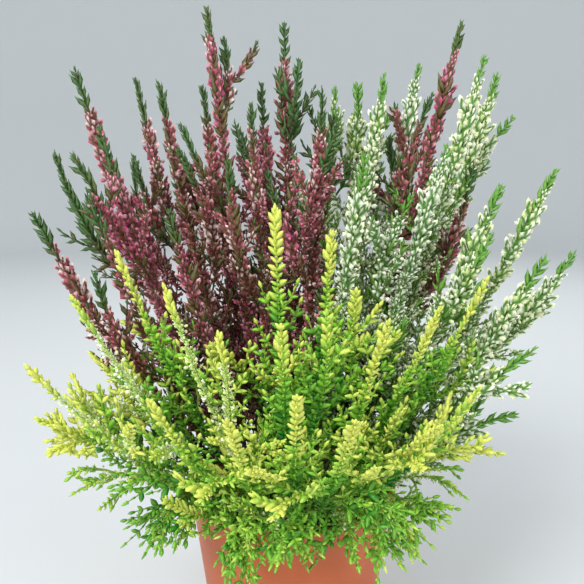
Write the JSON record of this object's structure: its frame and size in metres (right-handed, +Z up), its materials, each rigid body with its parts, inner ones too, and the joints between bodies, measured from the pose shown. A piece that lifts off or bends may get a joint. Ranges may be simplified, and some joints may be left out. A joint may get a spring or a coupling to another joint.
{
  "type": "potted heather",
  "caption": "Purple, white and lime-leaved heather grown together in one plain round plastic plant pot with a drained base.",
  "frame": {"origin": "centre of the pot's flat underside", "axes": "+Z up along the pot's axis, -Y to the front where the lime-leaved sprays hang over the rim, +X to the right seen from the front"},
  "size_m": [0.3199, 0.2748, 0.41],
  "materials": {
    "pot": "satin",
    "soil": "matte",
    "purple_spray": "matte",
    "white_spray": "matte",
    "lime_spray": "matte",
    "green_spray": "matte"
  },
  "bodies": {
    "root": {"pot": "pot", "soil": "soil", "green_spray_01": "green_spray", "green_spray_02": "green_spray", "green_spray_03": "green_spray", "lime_spray_01": "lime_spray", "lime_spray_02": "lime_spray", "lime_spray_03": "lime_spray", "lime_spray_04": "lime_spray", "lime_spray_05": "lime_spray", "lime_spray_06": "lime_spray", "lime_spray_07": "lime_spray", "lime_spray_08": "lime_spray", "lime_spray_09": "lime_spray", "lime_spray_10": "lime_spray", "lime_spray_11": "lime_spray", "lime_spray_12": "lime_spray", "lime_spray_13": "lime_spray", "lime_spray_14": "lime_spray", "lime_spray_15": "lime_spray", "lime_spray_16": "lime_spray", "lime_spray_17": "lime_spray", "lime_spray_18": "lime_spray", "lime_spray_19": "lime_spray", "lime_spray_20": "lime_spray", "lime_spray_21": "lime_spray", "lime_spray_22": "lime_spray", "lime_spray_23": "lime_spray", "lime_spray_24": "lime_spray", "lime_spray_25": "lime_spray", "purple_spray_01": "purple_spray", "purple_spray_02": "purple_spray", "purple_spray_03": "purple_spray", "purple_spray_04": "purple_spray", "purple_spray_05": "purple_spray", "purple_spray_06": "purple_spray", "purple_spray_07": "purple_spray", "purple_spray_08": "purple_spray", "purple_spray_09": "purple_spray", "purple_spray_10": "purple_spray", "purple_spray_11": "purple_spray", "purple_spray_12": "purple_spray", "purple_spray_13": "purple_spray", "purple_spray_14": "purple_spray", "purple_spray_15": "purple_spray", "purple_spray_16": "purple_spray", "white_spray_01": "white_spray", "white_spray_02": "white_spray", "white_spray_03": "white_spray", "white_spray_04": "white_spray", "white_spray_05": "white_spray", "white_spray_06": "white_spray", "white_spray_07": "white_spray", "white_spray_08": "white_spray", "white_spray_09": "white_spray", "white_spray_10": "white_spray", "white_spray_11": "white_spray", "white_spray_12": "white_spray", "white_spray_13": "white_spray", "white_spray_14": "white_spray"}
  },
  "joints": []
}
